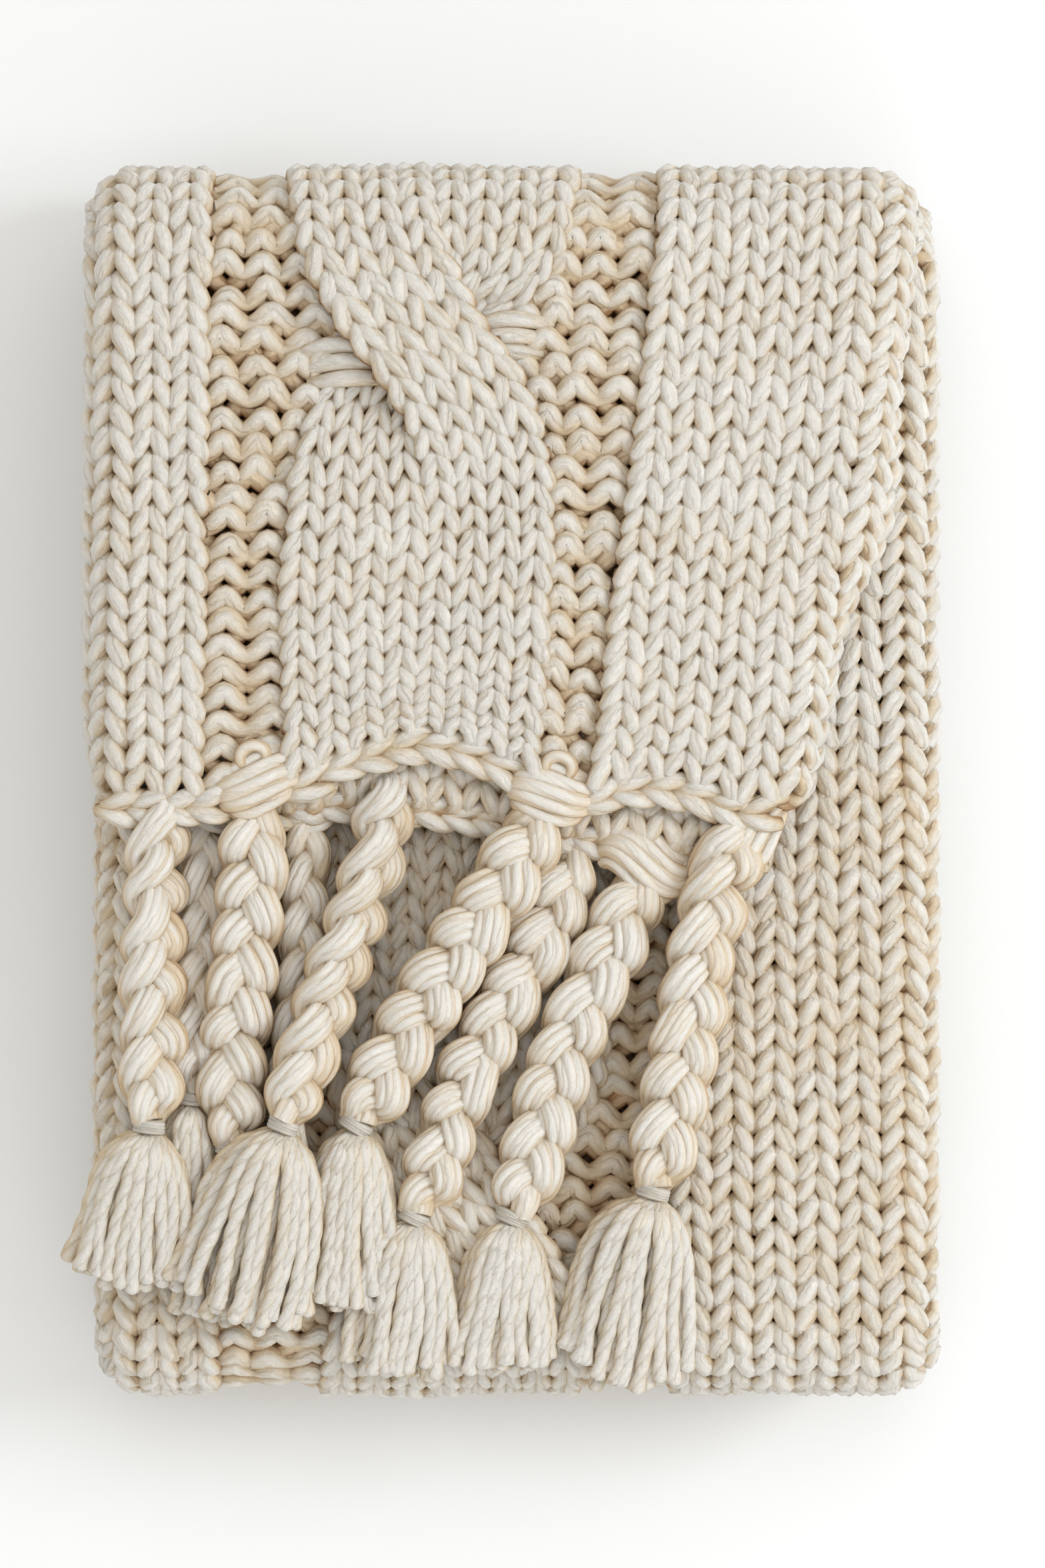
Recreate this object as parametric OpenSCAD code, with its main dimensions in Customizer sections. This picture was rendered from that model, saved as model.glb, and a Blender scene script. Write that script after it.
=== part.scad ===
// Folded chunky-knit throw blanket with a braided, tasselled fringe on its loose end.
// Millimetres, Z up. The origin is the centre of the face it rests on, +Y is towards the flap's fold.

/* [Folded stack] */
// width of the blanket when it is folded in four lengthwise
folded_w = 324; // [270:1:390]
// length of the folded stack
folded_l = 483; // [400:1:580]
// thickness of one run of four plies
run_t = 32; // [26:1:40]
// rounding of the stack's corners seen from above
corner_r = 26; // [15:1:40]

/* [End flap] */
// width of the flap beside its fold
flap_back_w = 306; // [270:1:316]
// width of the flap at its loose end
flap_front_w = 255; // [225:1:280]
// distance from the stack's middle to the loose end, towards the fold
flap_end_y = -6; // [-20:1:20]
// clearance between pieces that move past each other
gap = 0.4; // [0.3:0.1:1]

/* [Fringe] */
// width of a braid against its nominal size
braid_width_factor = 1; // [0.8:0.01:1]
// length of the tassel skirts
tassel_l = 60; // [45:1:72]
// length of the yarn binding between a braid and its tassel
binding_l = 6; // [4:0.5:9]
// distance between the lobes of a braid
lobe_pitch = 17; // [12:1:22]

/* [Hidden] */
$fn = 64;

kx = folded_w / 324;
ky = folded_l / 483;
kt = run_t / 32;
k = min(kx, ky);
kf = flap_front_w / 255;

stack_top = 3 * run_t;
fold_y = folded_l / 2 - run_t;
fold_r = run_t - 2 * kt;
flap_bottom = stack_top + gap;
flap_top = 4 * run_t;
flap_mid = (flap_bottom + flap_top) / 2;
side_back_x = [-159 * kx, (flap_back_w - 159) * kx];
side_front_x = [-151 * kx, (flap_front_w - 151) * kx];

braid_t = 12 * kt;
tassel_t = 9 * kt;
knot_t = 15 * kt;
knot_d = 20 * k;
edge_t = 10 * kt;
edge_d = 9 * k;

upper_z = stack_top + 25.5 * kt;
lower_z = stack_top + 8 * kt;
knot_upper_z = flap_top - knot_t;
knot_lower_z = flap_bottom + 0.2;

// Loose end of the upper plies and of the lower plies, from left to right.
upper_end = [[-170, 0], [-84, 0], [-71, 16], [-36, 26], [-10, 18], [6, 1], [30, 1], [50, 9], [84, -2], [120, -2]];
lower_end = [[-170, -4], [-90, -6], [-39, -6], [0, -10], [30, -16], [60, -21], [120, -21]];

// One row per braid: hinge x and y, binding x and y, width, height of the hinge, height of the skirt's tip,
// width of the skirt's tip, width of the hitch, turn of the skirt. Heights are above the stack, at nominal size.
braids = [
  [-137, -15,   -142, -131, 22, 25.5, 15.5, 34, 24, -6],
  [-128, -21,   -135, -121, 16,  8,    6,   16, 16,  0],
  [-101, -15,   -113, -140, 24, 24,    5.5, 24, 28,  6],
  [-82,  -21,    -88, -122, 12,  8,    6,   10, 14,  0],
  [-50,    2,    -92, -133, 18, 26,   26,   30, 26,  5],
  [ 8,   -15,    -60, -133, 26, 25.5, 16.5, 27, 30, 24],
  [ 20,  -31,    -40, -167, 26,  8,    6,   37, 24, 18],
  [ 46,  -44,     -2, -167, 27,  8,    6,   33, 32, 15],
  [ 90,  -18,     54, -156, 27, 25.5,  7,   50, 28,  5],
];
braid_count = len(braids);

// Places along the loose end keep their share of its width.
function along_end(x) = ((x + 151) * kf - 151) * kx;
function hinge(n) = [along_end(braids[n][0]), braids[n][1] * ky];
function tie(n) = [along_end(braids[n][2]), braids[n][3] * ky];
function width(n) = braids[n][4] * k * kf * braid_width_factor;
function hinge_z(n) = stack_top + braids[n][5] * kt;
function tip_z(n) = stack_top + braids[n][6] * kt;
function skirt_w(n) = braids[n][7] * k * kf;
function hitch_w(n) = braids[n][8] * k * kf;
function skirt_turn(n) = braids[n][9];
function is_upper(n) = braids[n][5] > 16;
function heading(n) = atan2(tie(n)[1] - hinge(n)[1], tie(n)[0] - hinge(n)[0]);
function braid_len(n) = norm(tie(n) - hinge(n));
function reach(n) = braid_len(n) + binding_l + tassel_l * k;
function tilt(n) = asin((hinge_z(n) - tip_z(n)) / reach(n));

cream = [0.90, 0.87, 0.79];
pale_cream = [0.94, 0.92, 0.86];
warm_cream = [0.85, 0.80, 0.70];

// ---------- shared shapes ----------

// Flat profile in Y and Z, drawn along X over a width centred on x.
module along_x(w) {
  rotate([90, 0, 90]) translate([0, 0, -w / 2]) linear_extrude(w) children();
}

module rounded_plan(w, l, r) {
  union() {
    square([w - 2 * r, l], center = true);
    square([w, l - 2 * r], center = true);
    for (sx = [-1, 1], sy = [-1, 1]) translate([sx * (w / 2 - r), sy * (l / 2 - r)]) circle(r);
  }
}

// Frame of a braid seen from above: X runs from its hinge to its tassel.
module braid_plan(n) {
  translate(hinge(n)) rotate(heading(n)) children();
}

// Frame of a braid as it lies, sloping down from its hinge.
module braid_frame(n) {
  translate([hinge(n)[0], hinge(n)[1], hinge_z(n)]) rotate([0, tilt(n), heading(n)]) children();
}

// ---------- folded stack ----------

module panel_side() {
  half = folded_l / 2;
  front_y = -half + run_t;
  difference() {
    union() {
      translate([-half + 10 * ky, 0]) square([half - 10 * ky + fold_y, run_t]);
      translate([front_y, run_t]) square([fold_y - front_y, 2 * run_t]);
      translate([fold_y, run_t]) circle(run_t);
      translate([front_y, 2 * run_t]) circle(run_t);
    }
    translate([-half - 1, run_t - 0.75]) square([half + 1 + fold_y, 1.5]);
    translate([front_y, 2 * run_t - 0.75]) square([folded_l, 1.5]);
  }
}

module panel_front() {
  for (run = [0:2]) translate([0, (run + 0.5) * run_t]) {
    square([folded_w - run_t, run_t], center = true);
    for (s = [-1, 1]) translate([s * (folded_w - run_t) / 2, 0]) circle(run_t / 2);
  }
}

module folded_panel() {
  color(cream) intersection() {
    along_x(folded_w + 2) panel_side();
    rotate([90, 0, 0]) translate([0, 0, -folded_l]) linear_extrude(2 * folded_l) panel_front();
    linear_extrude(stack_top + 1) rounded_plan(folded_w, folded_l, corner_r);
  }
}

// The fold that joins the top run to the flap, as a roll about the flap's turning axis.
module flap_fold() {
  color(cream) along_x(folded_w - 14 * kx) translate([fold_y, stack_top]) difference() {
    circle(fold_r);
    translate([-fold_r - 1, -fold_r - 1]) square([fold_r + 1, fold_r + 1 + 0.1]);
  }
}

// ---------- end flap ----------

function end_point(p) = [along_end(p[0]), p[1] * ky + flap_end_y * ky];

module flap_plate(z, h, points) {
  back_y = fold_y + 1;
  translate([0, 0, z]) linear_extrude(h) intersection() {
    polygon(concat([for (p = points) end_point(p)],
      [[side_back_x[1] + 60 * kx, back_y], [side_back_x[0] - 60 * kx, back_y]]));
    polygon([[side_back_x[0], back_y], [side_back_x[1], back_y],
      [side_front_x[1], flap_end_y * ky - 40 * ky], [side_front_x[0], flap_end_y * ky - 40 * ky]]);
  }
}

module hitch_plan(n) {
  loop_w = hitch_w(n) / 3;
  u = -braid_t / 2 - gap - knot_d;
  braid_plan(n) for (i = [-1, 0, 1]) translate([u, i * loop_w]) {
    translate([loop_w / 2, -loop_w / 2]) square([knot_d - loop_w / 2, loop_w]);
    translate([loop_w / 2, 0]) circle(loop_w / 2);
  }
}

// Room for a hitch and for the braid in front of it.
module hitch_pocket(n) {
  room_w = hitch_w(n) + 0.7;
  translate([0, 0, is_upper(n) ? flap_mid - 0.6 : flap_bottom - 1])
    linear_extrude(is_upper(n) ? run_t : flap_mid - flap_bottom + 1.6)
      braid_plan(n) translate([-braid_t / 2 - gap - knot_d - 0.35, -room_w / 2]) square([knot_d + 60 * k, room_w]);
}

module end_flap() {
  color(cream) difference() {
    union() {
      flap_plate(flap_mid, flap_top - flap_mid, upper_end);
      flap_plate(flap_bottom, flap_mid - flap_bottom, lower_end);
    }
    along_x(2 * folded_w) union() {
      translate([fold_y, stack_top]) circle(fold_r + gap);
      translate([fold_y - 12 * kt, stack_top - 1]) square([3 * run_t, 2 * run_t]);
    }
    for (n = [0:braid_count - 1]) hitch_pocket(n);
  }
}

// Strip along an end, in front of it, open where the hitches and the braids are.
module edge_strip(points, upper) {
  x0 = side_front_x[0];
  x1 = side_front_x[1];
  difference() {
    intersection() {
      polygon(concat([for (p = points) end_point(p) - [0, 0.2]],
        [for (i = [len(points) - 1:-1:0]) end_point(points[i]) - [0, 0.2 + edge_d]]));
      translate([x0, -folded_l]) square([x1 - x0, 2 * folded_l]);
    }
    for (n = [0:braid_count - 1]) if (is_upper(n) == upper) {
      braid_plan(n) translate([-braid_t / 2 - gap - 2 * knot_d, -max(hitch_w(n), width(n)) / 2 - 0.6])
        square([2 * knot_d + 90 * k, max(hitch_w(n), width(n)) + 1.2]);
    }
  }
}

module bound_off_edge() {
  color(warm_cream) {
    translate([0, 0, flap_mid + 3 * kt]) linear_extrude(edge_t) edge_strip(upper_end, true);
    translate([0, 0, flap_bottom + 2 * kt]) linear_extrude(edge_t) edge_strip(lower_end, false);
  }
}

module hitch_knot(n) {
  z = is_upper(n) ? knot_upper_z : knot_lower_z;
  color(pale_cream) translate([0, 0, z]) linear_extrude(knot_t - 0.2) hitch_plan(n);
}

// ---------- braids, bindings and tassels ----------

neck_t = 7 * kt;
function neck_w(n) = 0.42 * width(n);

module braid(n) {
  w = width(n);
  l = braid_len(n);
  lobes = floor((l - w / 2) / (lobe_pitch * k));
  step = (l - 0.36 * w - 0.5 * w) / lobes;
  color(cream) braid_frame(n) {
    rotate([90, 0, 0]) translate([0, 0, -0.36 * w]) cylinder(h = 0.72 * w, r = braid_t / 2);
    translate([0, 0, -braid_t / 2]) linear_extrude(braid_t) union() {
      translate([0, -0.36 * w]) square([l - 0.36 * w, 0.72 * w]);
      for (i = [0:lobes]) translate([0.5 * w + i * step, (i % 2 == 0 ? 1 : -1) * 0.16 * w]) circle(0.34 * w);
    }
    translate([l - w / 2, -neck_w(n) / 2, -neck_t / 2]) cube([w / 2 + binding_l - 0.2, neck_w(n), neck_t]);
  }
}

module binding(n) {
  grip = 0.15;
  outer_w = neck_w(n) + 4 * k;
  outer_t = neck_t + 3.6 * kt;
  color(warm_cream) braid_frame(n) translate([braid_len(n) + 0.2, 0, 0]) difference() {
    translate([0, -outer_w / 2, -outer_t / 2]) cube([binding_l - 0.6, outer_w, outer_t]);
    translate([-1, -neck_w(n) / 2 - grip, -neck_t / 2 - grip])
      cube([binding_l + 2, neck_w(n) + 2 * grip, neck_t + 2 * grip]);
  }
}

module tassel(n) {
  l = tassel_l * k;
  tip_w = skirt_w(n);
  top_w = min(0.8 * width(n), tip_w);
  ends = 6;
  tip = [for (i = [0:2 * ends]) [l - (i % 2 == 0 ? 5 * k : 0), tip_w / 2 - i * tip_w / (2 * ends)]];
  color(pale_cream) braid_frame(n) translate([braid_len(n) + binding_l, 0, -tassel_t / 2])
    rotate(skirt_turn(n)) linear_extrude(tassel_t) polygon(concat([[2 * k, 0.25 * top_w], [9 * k, top_w / 2]], tip,
      [[9 * k, -top_w / 2], [2 * k, -0.25 * top_w]]));
}

// ---------- what is drawn ----------

folded_panel();
flap_fold();
end_flap();
bound_off_edge();
hitch_knot(0);  // hitch_knot_1
hitch_knot(1);  // hitch_knot_2
hitch_knot(2);  // hitch_knot_3
hitch_knot(3);  // hitch_knot_4
hitch_knot(4);  // hitch_knot_5
hitch_knot(5);  // hitch_knot_6
hitch_knot(6);  // hitch_knot_7
hitch_knot(7);  // hitch_knot_8
hitch_knot(8);  // hitch_knot_9
braid(0);  // braid_1
braid(1);  // braid_2
braid(2);  // braid_3
braid(3);  // braid_4
braid(4);  // braid_5
braid(5);  // braid_6
braid(6);  // braid_7
braid(7);  // braid_8
braid(8);  // braid_9
binding(0);  // binding_1
binding(1);  // binding_2
binding(2);  // binding_3
binding(3);  // binding_4
binding(4);  // binding_5
binding(5);  // binding_6
binding(6);  // binding_7
binding(7);  // binding_8
binding(8);  // binding_9
tassel(0);  // tassel_1
tassel(1);  // tassel_2
tassel(2);  // tassel_3
tassel(3);  // tassel_4
tassel(4);  // tassel_5
tassel(5);  // tassel_6
tassel(6);  // tassel_7
tassel(7);  // tassel_8
tassel(8);  // tassel_9
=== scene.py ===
"""A folded chunky-knit throw: every stitch, braid and tassel is a swept yarn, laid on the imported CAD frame.

Lengths are millimetres until a mesh is made, and metres in Blender.
"""

import math

import bpy
import numpy as np
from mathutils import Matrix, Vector


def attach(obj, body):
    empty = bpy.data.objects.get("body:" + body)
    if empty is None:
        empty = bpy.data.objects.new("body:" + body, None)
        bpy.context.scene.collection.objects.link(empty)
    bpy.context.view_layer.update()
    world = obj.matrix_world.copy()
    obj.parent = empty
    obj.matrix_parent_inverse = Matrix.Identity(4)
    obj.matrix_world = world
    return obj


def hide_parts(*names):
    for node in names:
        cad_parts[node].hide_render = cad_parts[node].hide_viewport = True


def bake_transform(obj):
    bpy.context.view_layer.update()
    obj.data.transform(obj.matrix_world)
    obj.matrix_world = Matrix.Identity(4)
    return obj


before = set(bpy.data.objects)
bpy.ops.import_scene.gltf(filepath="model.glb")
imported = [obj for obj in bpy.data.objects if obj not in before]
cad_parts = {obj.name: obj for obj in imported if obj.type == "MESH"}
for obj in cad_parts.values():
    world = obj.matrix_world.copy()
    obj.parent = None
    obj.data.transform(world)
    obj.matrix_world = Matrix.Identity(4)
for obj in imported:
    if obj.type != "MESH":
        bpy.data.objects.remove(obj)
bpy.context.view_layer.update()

MM = 0.001
RNG = np.random.default_rng(7)

# ---------------------------------------------------------------- sizes, as part.scad has them
HALF_W, HALF_L = 162.0, 241.5      # half the stack's width and length
RUN = 32.0                         # thickness of one run of plies
FOLD_Y = HALF_L - RUN              # where the back folds turn
FRONT_Y = -HALF_L + RUN            # where the front fold turns
TOP = 4 * RUN
STACK_TOP = 3 * RUN
PITCH = 10.0                       # row to row
TURN = RUN - 2.0                   # round a fold, the rows are a pitch apart at this radius


def smooth(t):
    """Eased step from 0 to 1."""
    t = np.clip(t, 0.0, 1.0)
    return t * t * (3 - 2 * t)


def unit(v):
    """Vectors along the last axis, made one long."""
    return v / np.maximum(np.linalg.norm(v, axis=-1, keepdims=True), 1e-9)


# ---------------------------------------------------------------- tubes to meshes
class Yarns:
    """Collects swept tubes and turns them into one mesh with a packed map of its surface."""

    def __init__(self, sides, lobes=3, lobe_depth=0.0, ply_pitch=42.0, flank_shade=0.95):
        self.sides, self.lobes, self.lobe_depth, self.ply_pitch = sides, lobes, lobe_depth, ply_pitch
        self.flank_shade = flank_shade        # painted shade: how much darker a yarn is at its flanks than above and below
        self.verts, self.quads, self.caps, self.along, self.depth, self.tint = [], [], [], [], [], []
        self.count = 0

    def add(self, path, radius, up, depth=1.0, phase=0.0, tint=0.0):
        """Sweep one capped tube along path; up (one vector, or one a point) steadies its section."""
        path = np.asarray(path, float)
        n, k = len(path), self.sides
        radius = np.broadcast_to(np.asarray(radius, float), n)
        tangent = unit(np.gradient(path, axis=0))
        up = np.broadcast_to(np.asarray(up, float), path.shape)
        side = unit(np.cross(tangent, up))
        top = np.cross(side, tangent)
        length = np.concatenate([[0], np.cumsum(np.linalg.norm(np.diff(path, axis=0), axis=1))])
        angle = np.linspace(0, 2 * np.pi, k, endpoint=False)[None, :]
        twist = 2 * np.pi * length[:, None] / self.ply_pitch + phase
        r = radius[:, None] * (1 + self.lobe_depth * np.cos(self.lobes * angle + twist))
        ring = (path[:, None, :] + side[:, None, :] * (r * np.cos(angle))[..., None]
                + top[:, None, :] * (r * np.sin(angle))[..., None])
        self.verts.append(ring.reshape(-1, 3))
        # painted shade: each tube is darkened at its flanks, where its neighbours would shade it
        painted_flank_shade = self.flank_shade * (np.abs(np.sin(angle)) - 0.75)
        self.depth.append((np.broadcast_to(depth, n)[:, None] + painted_flank_shade).reshape(-1))
        self.tint.append(np.full(n * k, tint))
        i = np.arange(n - 1)[:, None] * k + np.arange(k)[None, :]
        j = np.arange(n - 1)[:, None] * k + (np.arange(k)[None, :] + 1) % k
        self.quads.append((np.stack([i, i + k, j + k, j], -1) + self.count).reshape(-1, 4))
        turns = (np.arange(k + 1) / k)[None, :] * np.ones((n, 1))
        run = (length / self.ply_pitch + phase / (2 * np.pi))[:, None] * np.ones((1, k + 1))
        uv = np.stack([turns, run], -1)
        self.along.append(np.stack([uv[:-1, :-1], uv[1:, :-1], uv[1:, 1:], uv[:-1, 1:]], 2).reshape(-1, 2))
        self.caps.append(np.arange(k)[::-1] + self.count)
        self.caps.append(np.arange(k) + self.count + (n - 1) * k)
        self.count += n * k

    def mesh(self, name, material):
        """Put the tubes in the scene as one object, with its two maps, the painted shade of each point, and a
        tone offset of random tone plus painted shade.
        """
        k = self.sides
        verts = np.concatenate(self.verts) * MM
        quads = np.concatenate(self.quads)
        n_quads, n_caps = len(quads), len(self.caps)
        loops = np.concatenate([quads.reshape(-1)] + self.caps)
        starts = np.concatenate([np.arange(n_quads) * 4, n_quads * 4 + np.arange(n_caps) * k])
        me = bpy.data.meshes.new(name)
        me.vertices.add(len(verts))
        me.vertices.foreach_set("co", verts.astype(np.float32).reshape(-1))
        me.loops.add(len(loops))
        me.loops.foreach_set("vertex_index", loops.astype(np.int32))
        me.polygons.add(len(starts))
        me.polygons.foreach_set("loop_start", starts.astype(np.int32))
        me.update(calc_edges=True)
        me.polygons.foreach_set("use_smooth", np.ones(len(starts), bool))
        yarn_uv = me.uv_layers.new(name="Yarn")
        flat = np.zeros((len(loops), 2), np.float32)
        flat[: n_quads * 4] = np.concatenate(self.along)
        yarn_uv.data.foreach_set("uv", flat.reshape(-1))
        bake_uv = me.uv_layers.new(name="OFBake")
        bake_uv.data.foreach_set("uv", self._packed(n_quads, n_caps, len(loops)).reshape(-1))
        # painted shade per point: how low it sits among its neighbours and how far round to a yarn's side
        me.attributes.new("Depth", "FLOAT", "POINT").data.foreach_set(
            "value", np.concatenate(self.depth).astype(np.float32))
        me.attributes.new("Tint", "FLOAT", "POINT").data.foreach_set(
            "value", np.concatenate(self.tint).astype(np.float32))
        me.materials.append(material)
        obj = bpy.data.objects.new(name, me)
        bpy.context.scene.collection.objects.link(obj)
        return obj

    def _packed(self, n_quads, n_caps, n_loops):
        """Rings of quads stacked in columns of one square; caps are small discs in the last column."""
        k = self.sides
        rings = n_quads // k
        quad_shape = 0.44      # height of a quad in the map against its width
        columns = max(1, math.ceil(math.sqrt(rings * quad_shape / k)))
        per = math.ceil(rings / columns)
        columns += 1
        margin = 0.04          # kept free on either side of a column
        ring = np.arange(rings)
        col, row = ring // per, ring % per
        side = np.arange(k)
        u0 = (col[:, None] + margin + (1 - 2 * margin) * side[None, :] / k) / columns
        u1 = (col[:, None] + margin + (1 - 2 * margin) * (side[None, :] + 1) / k) / columns
        v0 = np.broadcast_to((row / per)[:, None], u0.shape)
        v1 = np.broadcast_to(((row + 1.0) / per)[:, None], u0.shape)
        quad = np.stack([np.stack([u0, v0], -1), np.stack([u0, v1], -1),
                         np.stack([u1, v1], -1), np.stack([u1, v0], -1)], 2)
        out = np.zeros((n_loops, 2), np.float32)
        out[: n_quads * 4] = quad.reshape(-1, 2)
        cap = np.arange(n_caps)[:, None]
        angle = (2 * np.pi * side / k)[None, :]
        disc = min(0.4 / columns, 0.4 / n_caps)
        cap_u = (columns - 0.5) / columns + disc * np.cos(angle) + 0 * cap
        cap_v = (cap + 0.5) / n_caps + disc * np.sin(angle)
        out[n_quads * 4:] = np.stack([cap_u, cap_v], -1).reshape(-1, 2)
        return out


# ---------------------------------------------------------------- materials
PLIES_OF_YARN = 3.0
# How much each cause changes a yarn's tone, from 0 in a hollow to 1 on top; the first cause, how low a point
# sits, and the fourth, the grooves between plies, are painted shade.
DEPTH_SHADE_TONE, FIBRE_TONE, CLOUD_TONE, GROOVE_SHADE_TONE, BASE_TONE = 0.62, 0.42, 0.26, 0.15, 0.17
SHADE_AT, MIDDLE_AT, LIGHT_AT = 0.06, 0.50, 0.90      # the tones at which the three colours lie
# How high each of them stands in the bump.
FIBRE_RISE, GROOVE_DIP, GRAIN_RISE = 1.3, 1.0, 0.35


def wool(name, light, middle, shade, bump=1.0):
    """Matt plied wool: grooves between the plies, fine fibres along them, and painted warm shade in its
    hollows.

    The colour runs from shade through middle to light as the yarn's surface comes out of a hollow: the
    hollows are painted shade.
    """
    mat = bpy.data.materials.new(name)
    mat.use_nodes = True
    nodes, links = mat.node_tree.nodes, mat.node_tree.links
    bsdf = nodes["Principled BSDF"]

    def node(kind, **values):
        made = nodes.new(kind)
        for key, value in values.items():
            setattr(made, key, value)
        return made

    def calc(operation, a, b=0.0):
        made = node("ShaderNodeMath", operation=operation)
        for socket, value in zip(made.inputs, (a, b)):
            if isinstance(value, (int, float)):
                socket.default_value = value
            else:
                links.new(value, socket)
        return made.outputs[0]

    def noise(vector, scale, detail, roughness=0.6):
        made = node("ShaderNodeTexNoise")
        made.inputs["Scale"].default_value = scale
        made.inputs["Detail"].default_value = detail
        made.inputs["Roughness"].default_value = roughness
        links.new(vector, made.inputs["Vector"])
        return made.outputs["Fac"]

    where = node("ShaderNodeTexCoord").outputs["Object"]
    uv = node("ShaderNodeUVMap", uv_map="Yarn").outputs[0]
    split = node("ShaderNodeSeparateXYZ")
    links.new(uv, split.inputs[0])
    wobble = calc("MULTIPLY", calc("SUBTRACT", noise(where, 120.0, 2.0), 0.5), 0.55)
    turned = calc("MULTIPLY", split.outputs[0], PLIES_OF_YARN)
    around = calc("ADD", calc("ADD", turned, split.outputs[1]), wobble)
    ply = calc("ABSOLUTE", calc("COSINE", calc("MULTIPLY", around, math.pi)))
    groove = calc("POWER", calc("SUBTRACT", 1.0, ply), 1.7)

    # fibres follow the plies: fine across them, long along them
    strand = node("ShaderNodeCombineXYZ")
    links.new(calc("MULTIPLY", around, 3.0), strand.inputs[0])
    links.new(calc("MULTIPLY", split.outputs[1], 2.2), strand.inputs[1])
    fibres = noise(strand.outputs[0], 1.9, 6.0, 0.66)
    cloud = noise(where, 34.0, 3.0)
    grain = noise(where, 1100.0, 3.0)

    depth = node("ShaderNodeAttribute", attribute_name="Depth").outputs["Fac"]
    # tone offset per point: random tone for each row or yarn, plus painted shade on the rows under the flap
    tint = node("ShaderNodeAttribute", attribute_name="Tint").outputs["Fac"]
    # painted shade: points low in a hollow or on a yarn's sides take the darker, warmer colours
    tone = calc("MULTIPLY", depth, DEPTH_SHADE_TONE)
    tone = calc("ADD", tone, calc("MULTIPLY", calc("SUBTRACT", fibres, 0.5), FIBRE_TONE))
    tone = calc("ADD", tone, calc("MULTIPLY", calc("SUBTRACT", cloud, 0.5), CLOUD_TONE))
    # painted shade: the grooves between the plies are darkened, besides their dip in the bump
    tone = calc("SUBTRACT", tone, calc("MULTIPLY", groove, GROOVE_SHADE_TONE))
    tone = calc("ADD", calc("ADD", tone, tint), BASE_TONE)
    ramp = node("ShaderNodeValToRGB")
    ramp.color_ramp.elements[0].position = SHADE_AT
    ramp.color_ramp.elements[0].color = (*shade, 1)
    ramp.color_ramp.elements[1].position = LIGHT_AT
    ramp.color_ramp.elements[1].color = (*light, 1)
    between = ramp.color_ramp.elements.new(MIDDLE_AT)
    between.color = (*middle, 1)
    links.new(tone, ramp.inputs[0])
    links.new(ramp.outputs[0], bsdf.inputs["Base Color"])

    height = calc("SUBTRACT", calc("MULTIPLY", fibres, FIBRE_RISE), calc("MULTIPLY", groove, GROOVE_DIP))
    height = calc("ADD", height, calc("MULTIPLY", grain, GRAIN_RISE))
    bumper = node("ShaderNodeBump")
    bumper.inputs["Strength"].default_value = 0.95 * bump
    bumper.inputs["Distance"].default_value = 0.0015
    links.new(height, bumper.inputs["Height"])
    links.new(bumper.outputs[0], bsdf.inputs["Normal"])
    bsdf.inputs["Roughness"].default_value = 0.94
    bsdf.inputs["Specular IOR Level"].default_value = 0.12
    bsdf.inputs["Sheen Weight"].default_value = 0.12
    bsdf.inputs["Sheen Roughness"].default_value = 0.5
    bsdf.inputs["Sheen Tint"].default_value = (1.0, 0.93, 0.82, 1)
    return mat


KNIT = wool("knit_wool", (0.815, 0.795, 0.755), (0.72, 0.59, 0.42), (0.40, 0.22, 0.095))
EDGE = wool("edge_wool", (0.83, 0.81, 0.77), (0.74, 0.61, 0.435), (0.42, 0.235, 0.10))
BRAID = wool("braid_wool", (0.85, 0.83, 0.79), (0.74, 0.60, 0.42), (0.44, 0.25, 0.11), bump=0.8)
# painted light: the tassel's colours, above all its middle and shade, are much lighter than the knit's,
# lighting the gaps between its loose yarns
TASSEL = wool("tassel_wool", (0.92, 0.90, 0.86), (0.88, 0.75, 0.56), (0.76, 0.54, 0.31))
# painted light: lighter than the braid's wool, so the thin coils don't show the shade they lie in
BINDING = wool("binding_wool", (0.90, 0.87, 0.81), (0.84, 0.73, 0.57), (0.70, 0.50, 0.30))
# painted shade: the ground cloth is the same throw, coloured dark brown as shade where it shows in gaps
# between stitches
BACKING_SHADE = wool("ground_wool", (0.60, 0.43, 0.27), (0.46, 0.31, 0.18), (0.28, 0.165, 0.08))


# ---------------------------------------------------------------- the cloth's surfaces
class Surface:
    """A run of cloth: flat coordinates X, S and a height become a point, and its sides wrap under."""

    def __init__(self, path, left, right, wrap, towards_end):
        self.path, self.left, self.right, self.wrap = path, left, right, wrap
        self.towards_end = towards_end     # +1 where s grows with y, -1 where it falls

    def place(self, x, s, h):
        """The points at x across, s along and h above the cloth."""
        y, z, ny, nz = self.path(s)
        xl, xr = self.left(y) + self.wrap, self.right(y) - self.wrap
        over_l, over_r = np.maximum(xl - x, 0), np.maximum(x - xr, 0)
        angle = np.minimum((over_l + over_r) / self.wrap, math.pi * 1.02)
        reach = self.wrap + h
        flat = (over_l + over_r) == 0
        px = np.where(flat, x, np.where(over_l > 0, xl - reach * np.sin(angle), xr + reach * np.sin(angle)))
        lift = np.where(flat, h, reach * np.cos(angle) - self.wrap)
        return np.stack([px, y + ny * lift, z + nz * lift], -1)

    def up(self, x, s):
        """The cloth's outward directions."""
        return unit(self.place(x, s, np.ones_like(x)) - self.place(x, s, np.zeros_like(x)))

    def y(self, s):
        return self.path(np.asarray(s, float))[0]


INSET = 6.0       # from the outline of a run to the middle of its outer yarns
BASE_INSET = 9.5  # the same on the underside, whose stitches are pressed flat
WRAP = 13.0       # radius of a run's rolled sides


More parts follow.
